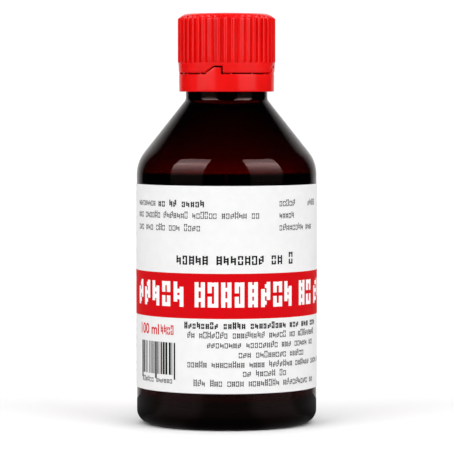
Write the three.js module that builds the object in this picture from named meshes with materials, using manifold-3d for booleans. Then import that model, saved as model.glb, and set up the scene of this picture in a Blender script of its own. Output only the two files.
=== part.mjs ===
// A 100 ml amber glass medicine bottle with a ribbed red screw cap, a tamper-evident ring,
// a press-in pouring insert and a wrap-round label. Millimetres, +Z up, origin at the centre
// of the base, on the surface that the bottle stands on. The front of the label faces -Y.
import * as THREE from "three";
import { ParametricGeometry } from "three/addons/geometries/ParametricGeometry.js";
import { mergeVertices } from "three/addons/utils/BufferGeometryUtils.js";
import Module from "manifold-3d";

// ---- Driving dimensions ----
const roundSegments = 48; // facets round every turned piece, so that coaxial walls stay parallel
const arcDivisions = 2; // a curve in a profile becomes twice this many straight lines

const bodyRadius = 23.5;
const wall = 2.0;
const heelRadius = 3.8;
const bearingInnerRadius = 16.0; // the standing ring runs from here to the heel
const pushUp = 1.6; // height of the hollow under the base
const shoulderZ = 65.0; // where the straight body ends
const shoulderRadius = 9.4;
const coneAngle = THREE.MathUtils.degToRad(38.4); // shoulder cone, from the vertical
const innerConeAngle = THREE.MathUtils.degToRad(40.8); // the glass thickens towards the neck
const neckRadius = 10.64;
const neckFilletRadius = 1.7;
const boreRadius = 6.75;
const lipZ = 104.3;

const collarRadius = 11.25; // glass bead that keeps the tamper ring on the neck
const collarZ = 89.3;
const collarHeight = 1.2;
const finishRadius = 10.05; // root of the glass thread

const threadPitch = 3.0;
const threadDepth = 0.9;
const glassThreadStartZ = 95.4; // height of the ridge's centre at its lower end
const glassThreadTurns = 2.0;
const capThreadTurns = 2.25;

const capTopZ = 107.1;
const capBottomZ = 91.5;
const ribCount = 42;
const ribCrestRadius = 12.75;
const ribDepth = 0.38;
const ribAngle = THREE.MathUtils.degToRad(7.25); // one crest's place, from the front towards +X
const ribBottomZ = 94.06;
const capChamfer = 1.05;
const capCrown = 0.45; // how far the top's dome falls from its centre to its rim
const capBandTopRadius = 12.6;
const capBandBottomRadius = 12.46;
const capBoreRadius = 11.25;
const capCeilingZ = 105.75;

const ringTopZ = 91.0;
const ringBottomZ = 86.5;
const ringTopRadius = 12.44;
const ringBottomRadius = 12.38;
const ringBoreRadius = 11.45;
const hookRadius = 10.88; // inward bead of the ring, which catches under the glass collar

const toothCount = 4;
const toothWallAngle = THREE.MathUtils.degToRad(-6.8); // the first tooth's upright side
const toothHeight = 1.75;
const toothTopWidth = 1.9;
const toothBottomWidth = 4.3;
const notchGap = 0.45; // slit between a tooth and the cap's notch

const bridgeOffsets = [12, 39.5, 63].map(THREE.MathUtils.degToRad); // past each tooth's upright side
const bridgeWidth = 0.8;
const bridgeDepth = 0.5;
const bridgeClearance = 0.02; // the thin break line at each end of a bridge

const insertPlugRadius = 6.69;
const insertFlangeRadius = 9.2;
const insertFlangeThickness = 0.8;
const insertDepth = 7.0;
const pourRadius = 4.25;

const labelInnerRadius = 23.56;
const labelThickness = 0.12;
const labelBottomZ = 9.65;
const labelTopZ = 62.6;
const labelWrap = THREE.MathUtils.degToRad(357); // the rest is the gap between its two ends, at the back

// ---- Materials ----
const amberGlass = new THREE.MeshStandardMaterial({ color: 0x1c0604, roughness: 0.06, metalness: 0 });
const redPlastic = new THREE.MeshStandardMaterial({ color: 0xdb1216, roughness: 0.38, metalness: 0 });
const naturalPlastic = new THREE.MeshStandardMaterial({ color: 0xe9e8e0, roughness: 0.45, metalness: 0 });
const labelPaper = new THREE.MeshStandardMaterial({ color: 0xf3f3f1, roughness: 0.6, metalness: 0 });

// ---- Solid tools ----
const wasm = await Module();
wasm.setup();

// A closed geometry as a manifold solid, with its shared vertices merged.
function solidOf(geometry) {
  const flat = geometry.index ? geometry.toNonIndexed() : geometry;
  const bare = new THREE.BufferGeometry();
  bare.setAttribute("position", flat.getAttribute("position"));
  const merged = mergeVertices(bare, 1e-4);
  return new wasm.Manifold(
    new wasm.Mesh({
      numProp: 3,
      vertProperties: merged.attributes.position.array,
      triVerts: new Uint32Array(merged.index.array),
    }),
  );
}

// A manifold solid as a geometry that a mesh can show.
function geometryOf(solid) {
  const mesh = solid.getMesh();
  const geometry = new THREE.BufferGeometry();
  geometry.setAttribute("position", new THREE.BufferAttribute(new Float32Array(mesh.vertProperties), 3));
  geometry.setIndex(new THREE.BufferAttribute(new Uint32Array(mesh.triVerts), 1));
  geometry.computeVertexNormals();
  return geometry;
}

// A profile of (radius, height), drawn anticlockwise, turned round the Z axis.
function turned(profile) {
  return new THREE.LatheGeometry(profile.getPoints(arcDivisions), roundSegments).rotateX(Math.PI / 2);
}

// A closed profile from a list of [radius, height] corners.
function polygonProfile(corners) {
  const profile = new THREE.Path();
  profile.moveTo(...corners[0]);
  corners.slice(1).forEach((corner) => profile.lineTo(...corner));
  profile.lineTo(...corners[0]);
  return profile;
}

// A flat outline of [arc length, height] corners, given depth and bent round the Z axis:
// arc length 0 lies at the given angle from the front, and grows towards +X.
function bentOutline(corners, innerRadius, outerRadius, angle) {
  const outline = new THREE.Shape(corners.map(([along, height]) => new THREE.Vector2(along, height)));
  const slab = new THREE.ExtrudeGeometry(outline, { depth: outerRadius - innerRadius, bevelEnabled: false });
  const position = slab.getAttribute("position");
  for (let i = 0; i < position.count; i++) {
    const turn = angle + position.getX(i) / outerRadius;
    const radius = innerRadius + position.getZ(i);
    position.setXYZ(i, radius * Math.sin(turn), -radius * Math.cos(turn), position.getY(i));
  }
  return slab;
}

// A right-handed helical ridge with four corners to its section. It rises from rootRadius to
// crestRadius (either may be the larger), and shrinks to a point at both ends.
function threadRidge({ rootRadius, crestRadius, rootWidth, crestWidth, startZ, turns }) {
  const stepsPerTurn = 32;
  const fadeTurns = 0.12;
  const corners = [
    [rootRadius, -rootWidth / 2],
    [crestRadius, -crestWidth / 2],
    [crestRadius, crestWidth / 2],
    [rootRadius, rootWidth / 2],
  ];
  if (crestRadius > rootRadius) corners.reverse(); // the faces look outward either way
  const ridge = (u, v, target) => {
    const turn = v * turns;
    const fade = Math.min(1, turn / fadeTurns, (turns - turn) / fadeTurns);
    const [radius, height] = corners[Math.round(u * corners.length) % corners.length];
    const angle = -Math.PI / 2 + 2 * Math.PI * turn;
    const faded = rootRadius + (radius - rootRadius) * fade;
    target.set(
      faded * Math.cos(angle),
      faded * Math.sin(angle),
      startZ + threadPitch * turn + height * fade,
    );
  };
  return new ParametricGeometry(ridge, corners.length, Math.round(stepsPerTurn * turns));
}

// ---- Glass bottle ----
function glassBottle() {
  const innerRadius = bodyRadius - wall;
  const arcCentre = bodyRadius - shoulderRadius;
  const slopeIn = Math.sin(coneAngle); // the cone's direction, as inward and upward parts
  const slopeUp = Math.cos(coneAngle);

  // Where the outer neck fillet and the bore's fillet are centred, found by following each cone line.
  const outerFilletEnd = neckRadius + neckFilletRadius * (1 - slopeUp);
  const outerRun = (arcCentre + shoulderRadius * slopeUp - outerFilletEnd) / slopeIn;
  const neckStartZ = shoulderZ + shoulderRadius * slopeIn + outerRun * slopeUp + neckFilletRadius * slopeIn;
  const boreFillet = 4.0;
  const innerArc = shoulderRadius - wall;
  const innerSlopeIn = Math.sin(innerConeAngle);
  const innerSlopeUp = Math.cos(innerConeAngle);
  const innerFilletEnd = boreRadius + boreFillet * (1 - innerSlopeUp);
  const innerRun = (arcCentre + innerArc * innerSlopeUp - innerFilletEnd) / innerSlopeIn;
  const innerArcRise = (innerArc + boreFillet) * innerSlopeIn; // the two arcs' share of the climb
  const boreEndZ = shoulderZ + innerArcRise + innerRun * innerSlopeUp;

  const lipRound = 0.8;
  const mouthRound = 0.6;
  const floorZ = 3.2;
  const floorCornerRadius = 4.5;
  const floorCentreZ = 4.8;

  const profile = new THREE.Path();
  profile.moveTo(0, pushUp);
  profile.quadraticCurveTo(bearingInnerRadius * 0.6, pushUp, bearingInnerRadius, 0);
  profile.lineTo(bodyRadius - heelRadius, 0);
  profile.absarc(bodyRadius - heelRadius, heelRadius, heelRadius, -Math.PI / 2, 0, false);
  profile.absarc(arcCentre, shoulderZ, shoulderRadius, 0, coneAngle, false);
  const outerFilletX = neckRadius + neckFilletRadius;
  profile.absarc(outerFilletX, neckStartZ, neckFilletRadius, Math.PI + coneAngle, Math.PI, true);
  profile.lineTo(neckRadius, collarZ);
  profile.lineTo(collarRadius, collarZ + 0.4);
  profile.lineTo(collarRadius, collarZ + collarHeight - 0.3);
  profile.lineTo(finishRadius, collarZ + collarHeight + 0.6);
  profile.absarc(finishRadius - lipRound, lipZ - lipRound, lipRound, 0, Math.PI / 2, false);
  profile.absarc(boreRadius + mouthRound, lipZ - mouthRound, mouthRound, Math.PI / 2, Math.PI, false);
  const boreFilletX = boreRadius + boreFillet;
  profile.absarc(boreFilletX, boreEndZ, boreFillet, Math.PI, Math.PI + innerConeAngle, false);
  profile.absarc(arcCentre, shoulderZ, innerArc, innerConeAngle, 0, true);
  const floorCorner = innerRadius - floorCornerRadius;
  profile.absarc(floorCorner, floorZ + floorCornerRadius, floorCornerRadius, 0, -Math.PI / 2, true);
  profile.quadraticCurveTo(floorCorner * 0.5, floorCentreZ, 0, floorCentreZ);

  const thread = threadRidge({
    rootRadius: finishRadius - 0.35,
    crestRadius: finishRadius + threadDepth,
    rootWidth: 2.1,
    crestWidth: 0.7,
    startZ: glassThreadStartZ,
    turns: glassThreadTurns,
  });
  return geometryOf(solidOf(turned(profile)).add(solidOf(thread)));
}

// ---- Pouring insert ----
function pourerInsert() {
  const flangeZ = lipZ + 0.03;
  const flangeTopZ = flangeZ + insertFlangeThickness;
  const spoutTopZ = flangeTopZ + 0.3;
  const plugBottomZ = flangeZ - insertDepth;
  const plugBoreRadius = insertPlugRadius - 1.0;
  return turned(
    polygonProfile([
      [plugBoreRadius, plugBottomZ],
      [insertPlugRadius - 0.4, plugBottomZ],
      [insertPlugRadius, plugBottomZ + 1.2],
      [insertPlugRadius, flangeZ],
      [insertFlangeRadius, flangeZ],
      [insertFlangeRadius, flangeTopZ - 0.2],
      [insertFlangeRadius - 0.2, flangeTopZ],
      [pourRadius + 1.7, flangeTopZ],
      [pourRadius + 1.1, flangeTopZ - 0.9],
      [pourRadius + 0.6, flangeTopZ - 0.9],
      [pourRadius + 0.35, spoutTopZ],
      [pourRadius, spoutTopZ],
      [pourRadius, flangeTopZ - 2.0],
      [plugBoreRadius, flangeTopZ - 2.6],
    ]),
  );
}

// ---- Screw cap ----
function ribbedBarrel() {
  const ribPitch = (2 * Math.PI) / ribCount;
  const valleyRadius = ribCrestRadius - ribDepth;
  const crestShare = 0.2; // of the pitch, each side of a crest's centre
  const valleyShare = 0.28; // of the pitch, where the flank has reached the valley
  const outline = new THREE.Shape();
  for (let i = 0; i < ribCount; i++) {
    const centre = -Math.PI / 2 + ribAngle + i * ribPitch;
    [
      [-valleyShare, valleyRadius],
      [-crestShare, ribCrestRadius],
      [crestShare, ribCrestRadius],
      [valleyShare, valleyRadius],
    ].forEach(([share, radius], k) => {
      const angle = centre + share * ribPitch;
      const method = i + k === 0 ? "moveTo" : "lineTo";
      outline[method](radius * Math.cos(angle), radius * Math.sin(angle));
    });
  }
  const barrel = new THREE.ExtrudeGeometry(outline, { depth: capTopZ - ribBottomZ, bevelEnabled: false });
  return barrel.translate(0, 0, ribBottomZ);
}

function screwCap() {
  const domeRadius = ribCrestRadius - capChamfer;
  const domeRimZ = capTopZ - capCrown;
  const chamferZ = domeRimZ - 0.45;

  // What the ribs are trimmed to: the dome, its rounded rim and the chamfer.
  const trim = new THREE.Path();
  trim.moveTo(0, ribBottomZ - 0.5);
  trim.lineTo(ribCrestRadius + 0.2, ribBottomZ - 0.5);
  trim.lineTo(ribCrestRadius + 0.2, chamferZ - capChamfer - 0.2);
  trim.lineTo(domeRadius, chamferZ);
  trim.quadraticCurveTo(domeRadius - 0.6, domeRimZ - 0.05, domeRadius - 1.8, domeRimZ + 0.12);
  trim.quadraticCurveTo(domeRadius * 0.5, capTopZ, 0, capTopZ);

  const band = polygonProfile([
    [0, capBottomZ],
    [capBandBottomRadius, capBottomZ],
    [capBandTopRadius, ribBottomZ - 0.25],
    [capBandTopRadius - 0.25, ribBottomZ + 0.05],
    [0, ribBottomZ + 0.05],
  ]);

  // The hollow, with the plug that seals in the insert and the bead that presses on its flange.
  const plugOuter = pourRadius - 0.2;
  const plugInner = plugOuter - 0.9;
  const plugBottomZ = capCeilingZ - 2.0;
  const beadBottomZ = lipZ + 0.03 + insertFlangeThickness + 0.07;
  const hollow = new THREE.Path();
  hollow.moveTo(0, capBottomZ - 1);
  hollow.lineTo(capBoreRadius, capBottomZ - 1);
  hollow.lineTo(capBoreRadius, capCeilingZ - 1.1);
  hollow.lineTo(capBoreRadius - 1.1, capCeilingZ);
  hollow.lineTo(8.3, capCeilingZ);
  hollow.lineTo(7.9, beadBottomZ);
  hollow.lineTo(7.3, beadBottomZ);
  hollow.lineTo(6.9, capCeilingZ);
  hollow.lineTo(plugOuter + 0.15, capCeilingZ);
  hollow.lineTo(plugOuter, capCeilingZ - 0.15);
  hollow.lineTo(plugOuter - 0.2, plugBottomZ);
  hollow.lineTo(plugInner, plugBottomZ);
  hollow.lineTo(plugInner - 0.3, capCeilingZ);
  hollow.lineTo(0, capCeilingZ);

  const thread = threadRidge({
    rootRadius: capBoreRadius + 0.35,
    crestRadius: capBoreRadius - threadDepth,
    rootWidth: 1.7,
    crestWidth: 0.5,
    startZ: glassThreadStartZ - threadPitch / 2,
    turns: capThreadTurns,
  });

  let cap = solidOf(ribbedBarrel()).intersect(solidOf(turned(trim)));
  cap = cap.add(solidOf(turned(band))).subtract(solidOf(turned(hollow)));
  cap = cap.add(solidOf(thread));
  for (const angle of toothAngles()) {
    cap = cap.subtract(solidOf(bentOutline(notchOutline(), 10.9, 13.2, angle)));
  }
  return geometryOf(cap);
}

// ---- Tamper-evident ring ----
function toothAngles() {
  return Array.from({ length: toothCount }, (_, i) => toothWallAngle + (i * 2 * Math.PI) / toothCount);
}

// A tooth seen from outside: an upright side at arc length 0, and a ramp on the other side.
function toothOutline() {
  const rootZ = ringTopZ - 0.6;
  return [
    [0, rootZ],
    [0, ringTopZ + toothHeight],
    [-toothTopWidth / 2, ringTopZ + toothHeight],
    [-toothTopWidth, ringTopZ + toothHeight],
    [-toothBottomWidth, ringTopZ],
    [-toothBottomWidth, rootZ],
    [-toothBottomWidth / 2, rootZ],
  ];
}

// The notch in the cap's skirt: the tooth's outline, grown by the slit.
function notchOutline() {
  const belowZ = capBottomZ - 0.5;
  const topZ = ringTopZ + toothHeight + notchGap;
  const run = (toothBottomWidth - toothTopWidth) / toothHeight; // arc length per millimetre of rise
  const shift = notchGap * Math.hypot(1, run); // the slit measured along the arc
  const rampAt = (z) => -toothTopWidth - shift - (ringTopZ + toothHeight - z) * run;
  return [
    [notchGap, belowZ],
    [notchGap, topZ],
    [-toothTopWidth / 2, topZ],
    [rampAt(topZ), topZ],
    [rampAt(belowZ), belowZ],
    [-toothTopWidth, belowZ],
  ];
}

function tamperRing() {
  const ring = polygonProfile([
    [ringBoreRadius - 0.1, ringBottomZ],
    [ringBottomRadius - 0.25, ringBottomZ],
    [ringBottomRadius, ringBottomZ + 0.25],
    [ringTopRadius, ringTopZ - 0.12],
    [ringTopRadius - 0.12, ringTopZ],
    [ringBoreRadius, ringTopZ],
    [ringBoreRadius, 89.2],
    [hookRadius, 88.5],
    [hookRadius, 87.9],
  ]);
  let solid = solidOf(turned(ring));
  for (const angle of toothAngles()) {
    const tooth = bentOutline(toothOutline(), ringBoreRadius + 0.06, ringTopRadius - 0.06, angle);
    solid = solid.add(solidOf(tooth));
  }
  return geometryOf(solid);
}

// One of the thin tabs that join the ring to the cap until the cap is first turned.
function frangibleBridge(angle) {
  const outer = ringTopRadius - 0.14;
  const half = bridgeWidth / 2;
  const bottom = ringTopZ + bridgeClearance;
  const top = capBottomZ - bridgeClearance;
  const corners = [
    [-half, bottom],
    [half, bottom],
    [half * 0.7, top],
    [-half * 0.7, top],
  ];
  return bentOutline(corners, outer - bridgeDepth, outer, angle);
}

// ---- Label ----
function wrapLabel() {
  const front = -Math.PI / 2;
  const outer = labelInnerRadius + labelThickness;
  const section = new THREE.Shape();
  section.absarc(0, 0, outer, front - labelWrap / 2, front + labelWrap / 2, false);
  section.absarc(0, 0, labelInnerRadius, front + labelWrap / 2, front - labelWrap / 2, true);
  const label = new THREE.ExtrudeGeometry(section, {
    depth: labelTopZ - labelBottomZ,
    bevelEnabled: false,
    curveSegments: 60,
  });
  return label.translate(0, 0, labelBottomZ);
}

// ---- Assembly ----
function named(name, geometry, material) {
  const mesh = new THREE.Mesh(geometry, material);
  mesh.name = name;
  return mesh;
}

const bottle = new THREE.Group();
bottle.add(
  named("glass_bottle", glassBottle(), amberGlass),
  named("wrap_label", wrapLabel(), labelPaper),
  named("pourer_insert", pourerInsert(), naturalPlastic),
  named("tamper_ring", tamperRing(), redPlastic),
  named("screw_cap", screwCap(), redPlastic),
);
toothAngles().forEach((toothAngle, quarter) => {
  bridgeOffsets.forEach((offset, place) => {
    const number = String(quarter * bridgeOffsets.length + place + 1).padStart(2, "0");
    bottle.add(named(`frangible_bridge_${number}`, frangibleBridge(toothAngle + offset), redPlastic));
  });
});

export default bottle;
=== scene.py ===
import math

import bmesh
import bpy
import numpy as np
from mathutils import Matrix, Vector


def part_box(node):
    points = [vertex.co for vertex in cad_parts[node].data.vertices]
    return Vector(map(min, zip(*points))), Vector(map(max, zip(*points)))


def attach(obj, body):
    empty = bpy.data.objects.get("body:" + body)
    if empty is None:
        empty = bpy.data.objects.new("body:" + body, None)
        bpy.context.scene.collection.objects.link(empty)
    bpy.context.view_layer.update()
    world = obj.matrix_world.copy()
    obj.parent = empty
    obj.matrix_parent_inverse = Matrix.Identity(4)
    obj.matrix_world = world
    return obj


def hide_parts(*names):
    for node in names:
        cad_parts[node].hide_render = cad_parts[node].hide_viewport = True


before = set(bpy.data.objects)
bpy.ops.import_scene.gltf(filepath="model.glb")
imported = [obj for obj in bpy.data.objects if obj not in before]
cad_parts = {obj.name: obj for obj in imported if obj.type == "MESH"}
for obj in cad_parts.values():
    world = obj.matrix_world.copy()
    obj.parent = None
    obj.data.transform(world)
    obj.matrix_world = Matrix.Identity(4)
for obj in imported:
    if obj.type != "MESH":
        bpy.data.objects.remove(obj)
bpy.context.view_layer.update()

mm = 0.001
scene = bpy.context.scene


# Shape helpers. Lengths are in millimetres until the mesh is written.

# a CAD node's low and high corner
def nodeBox(node):
    return [np.array(corner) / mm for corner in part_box(node)]


# A line through (radius, height, fillet) corners. Each corner becomes an arc that touches both
# its sides, tangent length = fillet * tan(half the turn). spacing(radius, height) is the longest
# straight step allowed at that place.
def filletedLine(corners, spacing, closed=False, arcStep=math.radians(10)):
    at = np.array([c[:2] for c in corners], float)
    count = len(at)
    runs = []
    for i, corner in enumerate(corners):
        if not closed and i in (0, count - 1):
            runs.append(at[i:i + 1])
            continue
        back, ahead = at[i - 1] - at[i], at[(i + 1) % count] - at[i]
        backLength, aheadLength = np.linalg.norm(back), np.linalg.norm(ahead)
        back, ahead = back / backLength, ahead / aheadLength
        turn = math.pi - math.acos(max(-1.0, min(1.0, float(back @ ahead))))
        if corner[2] <= 0 or turn < 1e-3:
            runs.append(at[i:i + 1])
            continue
        tangent = min(corner[2] * math.tan(turn / 2), 0.49 * backLength, 0.49 * aheadLength)
        radius = tangent / math.tan(turn / 2)
        bisector = back + ahead
        centre = at[i] + bisector / np.linalg.norm(bisector) * math.hypot(radius, tangent)
        first, last = at[i] + back * tangent - centre, at[i] + ahead * tangent - centre
        startAngle = math.atan2(first[1], first[0])
        sweep = (math.atan2(last[1], last[0]) - startAngle + math.pi) % (2 * math.pi) - math.pi
        angles = startAngle + sweep * np.linspace(0, 1, max(3, int(turn / arcStep) + 2))
        runs.append(centre + radius * np.column_stack([np.cos(angles), np.sin(angles)]))
    line = np.vstack(runs + ([runs[0][:1]] if closed else []))
    steps = []
    for start, end in zip(line[:-1], line[1:]):
        length = np.linalg.norm(end - start)
        if length < 1e-6:
            continue
        parts = max(1, math.ceil(length / spacing(*((start + end) / 2))))
        steps.append(start + (end - start) * (np.arange(parts) / parts)[:, None])
    if not closed:
        steps.append(line[-1:])
    return np.vstack(steps)


def meshPiece(name, points, faces, material, body, replaced=(), sharpAngle=32):
    # points in millimetres; faces is a list of whole arrays of vertex numbers, one array per face size
    mesh = bpy.data.meshes.new(name)
    points = np.asarray(points, float).reshape(-1, 3) * mm
    mesh.vertices.add(len(points))
    mesh.vertices.foreach_set("co", points.astype(np.float32).ravel())
    loops = np.concatenate([f.ravel() for f in faces])
    sizes = np.concatenate([np.full(len(f), f.shape[1]) for f in faces])
    mesh.loops.add(len(loops))
    mesh.loops.foreach_set("vertex_index", loops.astype(np.int32))
    mesh.polygons.add(len(sizes))
    mesh.polygons.foreach_set("loop_start", (np.cumsum(sizes) - sizes).astype(np.int32))
    mesh.update(calc_edges=True)
    mesh.validate()
    mesh.shade_smooth()
    mesh.set_sharp_from_angle(angle=math.radians(sharpAngle))
    return finished(bpy.data.objects.new(name, mesh), material, body, replaced)


def finished(piece, material, body, replaced=()):
    if piece.name not in scene.collection.objects:
        scene.collection.objects.link(piece)
    piece.data.materials.clear()
    piece.data.materials.append(material)
    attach(piece, body)
    if replaced:
        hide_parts(*replaced)
    return piece


# A line turned about Z: point = (r sin a, -r cos a, z), so a = 0 is the front and grows towards +X.
# reshape(r, z, a) may move whole grids of radii and heights before they are turned.
def turnedGrid(line, angles, reshape=None, closed=False):
    radius = np.repeat(line[:, :1], len(angles), axis=1)
    height = np.repeat(line[:, 1:], len(angles), axis=1)
    around = np.repeat(angles[None, :], len(line), axis=0)
    if reshape:
        radius, height = reshape(radius, height, around)
    points = np.stack([radius * np.sin(around), -radius * np.cos(around), height], axis=-1)
    rows, columns = points.shape[:2]
    column = np.arange(columns)
    nextColumn = (column + 1) % columns
    if closed:
        row = np.arange(rows)[:, None]
        nextRow = (row + 1) % rows
        quads = np.stack([row * columns + column, row * columns + nextColumn,
                          nextRow * columns + nextColumn, nextRow * columns + column], axis=-1)
        return points.reshape(-1, 3), [quads.reshape(-1, 4)]
    # both ends lie on the axis, so each end row closes to one point
    ring = points[1:-1].reshape(-1, 3)
    row = np.arange(rows - 3)[:, None]
    quads = np.stack([row * columns + column, row * columns + nextColumn,
                      (row + 1) * columns + nextColumn, (row + 1) * columns + column], axis=-1)
    firstPole, lastPole = len(ring), len(ring) + 1
    lastRow = (rows - 3) * columns
    firstFan = np.stack([np.full(columns, firstPole), nextColumn, column], axis=-1)
    lastFan = np.stack([lastRow + column, lastRow + nextColumn, np.full(columns, lastPole)], axis=-1)
    poles = np.array([[0, 0, line[0, 1]], [0, 0, line[-1, 1]]])
    return np.vstack([ring, poles]), [quads.reshape(-1, 4), firstFan, lastFan]


def evenAngles(count, start=0.0, extra=()):
    angles = start + np.arange(count) * 2 * math.pi / count
    return np.unique(np.round(np.concatenate([angles, extra]) % (2 * math.pi), 6))


def smoothStep(x, low, high):
    t = np.clip((x - low) / (high - low), 0, 1)
    return t * t * (3 - 2 * t)


# How much of a screw ridge there is at an angle and height, from 0 to 1: the ridge's centre
# climbs one pitch a turn, its section is a trapezoid, and it fades in and out at its ends.
def screwRidge(around, height, thread):
    best = np.zeros_like(around)
    for turn in range(int(thread["turns"]) + 2):
        turned = turn + (around % (2 * math.pi)) / (2 * math.pi)
        offset = np.abs(height - thread["start"] - thread["pitch"] * turned)
        section = 1 - smoothStep(offset, thread["crest"] / 2, thread["root"] / 2)
        ends = smoothStep(np.minimum(turned, thread["turns"] - turned), 0, thread["fade"])
        best = np.maximum(best, section * ends)
    return best


# Materials

def nodeMaterial(name):
    material = bpy.data.materials.new(name)
    material.use_nodes = True
    tree = material.node_tree
    return material, tree, tree.nodes["Principled BSDF"]


def addNoise(tree, scale, detail=3.0, roughness=0.55, stretch=None):
    place = tree.nodes.new("ShaderNodeTexCoord")
    noise = tree.nodes.new("ShaderNodeTexNoise")
    noise.inputs["Scale"].default_value = scale
    noise.inputs["Detail"].default_value = detail
    noise.inputs["Roughness"].default_value = roughness
    if stretch:
        mapping = tree.nodes.new("ShaderNodeMapping")
        mapping.inputs["Scale"].default_value = stretch
        tree.links.new(place.outputs["Object"], mapping.inputs["Vector"])
        tree.links.new(mapping.outputs["Vector"], noise.inputs["Vector"])
    else:
        tree.links.new(place.outputs["Object"], noise.inputs["Vector"])
    return noise.outputs["Fac"]


def mapValue(tree, source, fromLow, fromHigh, toLow, toHigh):
    ramp = tree.nodes.new("ShaderNodeMapRange")
    limits = {"From Min": fromLow, "From Max": fromHigh, "To Min": toLow, "To Max": toHigh}
    for socket, value in limits.items():
        ramp.inputs[socket].default_value = value
    tree.links.new(source, ramp.inputs["Value"])
    return ramp.outputs["Result"]


def combine(tree, operation, first, second=0.0):
    node = tree.nodes.new("ShaderNodeMath")
    node.operation = operation
    for socket, value in zip(node.inputs, (first, second)):
        if isinstance(value, bpy.types.NodeSocket):
            tree.links.new(value, socket)
        else:
            socket.default_value = value
    return node.outputs[0]


def mixColours(tree, share, first, second):
    mix = tree.nodes.new("ShaderNodeMix")
    mix.data_type = "RGBA"
    mix.inputs[6].default_value = (*first, 1)
    mix.inputs[7].default_value = (*second, 1)
    tree.links.new(share, mix.inputs[0])
    return mix.outputs[2]


def addBump(tree, shader, source, distance, strength=1.0):
    bump = tree.nodes.new("ShaderNodeBump")
    bump.inputs["Distance"].default_value = distance
    bump.inputs["Strength"].default_value = strength
    tree.links.new(source, bump.inputs["Height"])
    tree.links.new(bump.outputs["Normal"], shader.inputs["Normal"])


amberGlassLook = {
    # light left after a depth d: e to the power of -absorbPerMetre * (1 - passes) * d, for each colour
    "absorbPerMetre": 4200.0,
    "passes": (0.797, 0.30, 0.02),
    "glint": (1.0, 0.66, 0.64),
    "roughness": 0.015,
    "ior": 1.515,
    "rippleScale": 70.0,
    "rippleStretch": (1, 1, 0.45),  # drawn out along the height, as blown glass is
    "rippleHeight": 0.000012,
    "rippleStrength": 0.6,
}


def amberGlass(look=amberGlassLook):
    material, tree, shader = nodeMaterial("amberGlass")
    shader.inputs["Base Color"].default_value = (1, 1, 1, 1)
    shader.inputs["Transmission Weight"].default_value = 1.0
    shader.inputs["Roughness"].default_value = look["roughness"]
    shader.inputs["IOR"].default_value = look["ior"]
    shader.inputs["Specular Tint"].default_value = (*look["glint"], 1)
    ripples = addNoise(tree, look["rippleScale"], detail=1.5, stretch=look["rippleStretch"])
    addBump(tree, shader, ripples, look["rippleHeight"], look["rippleStrength"])
    depth = tree.nodes.new("ShaderNodeVolumeAbsorption")
    depth.inputs["Color"].default_value = (*look["passes"], 1)
    depth.inputs["Density"].default_value = look["absorbPerMetre"]
    tree.links.new(depth.outputs["Volume"], tree.nodes["Material Output"].inputs["Volume"])
    return material


redPlasticLook = {
    "deep": (0.76, 0.0028, 0.0022),
    "bright": (0.84, 0.0042, 0.0034),
    "flowScale": 190.0,
    "flowStretch": (1, 1, 0.35),
    "roughness": (0.15, 0.19),
    "grainScale": 1500.0,
    "grainHeight": 0.000003,
    "grainStrength": 0.5,
    "ior": 1.49,
}


def redPlastic(look=redPlasticLook):
    material, tree, shader = nodeMaterial("redPlastic")
    flow = addNoise(tree, look["flowScale"], detail=2.0, stretch=look["flowStretch"])
    share = mapValue(tree, flow, 0.35, 0.65, 0, 1)
    tree.links.new(mixColours(tree, share, look["deep"], look["bright"]), shader.inputs["Base Color"])
    grain = addNoise(tree, look["grainScale"], detail=2.0)
    tree.links.new(mapValue(tree, flow, 0.3, 0.7, *look["roughness"]), shader.inputs["Roughness"])
    addBump(tree, shader, grain, look["grainHeight"], look["grainStrength"])
    shader.inputs["IOR"].default_value = look["ior"]
    return material


naturalPlasticLook = {
    "tone": (0.80, 0.80, 0.76),
    "shade": (0.74, 0.74, 0.69),
    "cloudScale": 300.0,
    "roughness": 0.42,
    "translucency": 0.35,
    "scatterDepth": (0.0012, 0.0011, 0.0009),  # metres, for red, green and blue
    "grainScale": 1800.0,
    "grainHeight": 0.000005,
    "grainStrength": 0.5,
}


def naturalPlastic(look=naturalPlasticLook):
    material, tree, shader = nodeMaterial("naturalPlastic")
    cloud = addNoise(tree, look["cloudScale"])
    tree.links.new(mixColours(tree, cloud, look["tone"], look["shade"]), shader.inputs["Base Color"])
    shader.inputs["Roughness"].default_value = look["roughness"]
    shader.inputs["Subsurface Weight"].default_value = look["translucency"]
    shader.inputs["Subsurface Radius"].default_value = look["scatterDepth"]
    shader.inputs["Subsurface Scale"].default_value = 1.0
    grain = addNoise(tree, look["grainScale"])
    addBump(tree, shader, grain, look["grainHeight"], look["grainStrength"])
    return material


labelPaperLook = {
    "tone": (0.835, 0.835, 0.832),
    "shade": (0.81, 0.811, 0.808),
    "mottleScale": 420.0,
    "roughness": (0.5, 0.62),
    "shine": 0.35,
    "fibreScale": 1500.0,
    "fibreStretch": (1, 1, 2.2),  # the fibres lie round the bottle
    "fibreHeight": 0.000008,
    "fibreStrength": 0.5,
}


def labelPaper(look=labelPaperLook):
    material, tree, shader = nodeMaterial("labelPaper")
    mottle = addNoise(tree, look["mottleScale"], detail=4.0)
    share = mapValue(tree, mottle, 0.35, 0.65, 0, 1)
    tree.links.new(mixColours(tree, share, look["tone"], look["shade"]), shader.inputs["Base Color"])
    tree.links.new(mapValue(tree, mottle, 0.3, 0.7, *look["roughness"]), shader.inputs["Roughness"])
    shader.inputs["Specular IOR Level"].default_value = look["shine"]
    fibres = addNoise(tree, look["fibreScale"], detail=5.0, roughness=0.7, stretch=look["fibreStretch"])
    addBump(tree, shader, fibres, look["fibreHeight"], look["fibreStrength"])
    return material


printInkLook = {
    "layScale": 900.0,
    "shine": 0.05,
    "fibreScale": 1500.0,
    "fibreHeight": 0.000006,
    "fibreStrength": 0.4,
}


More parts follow.
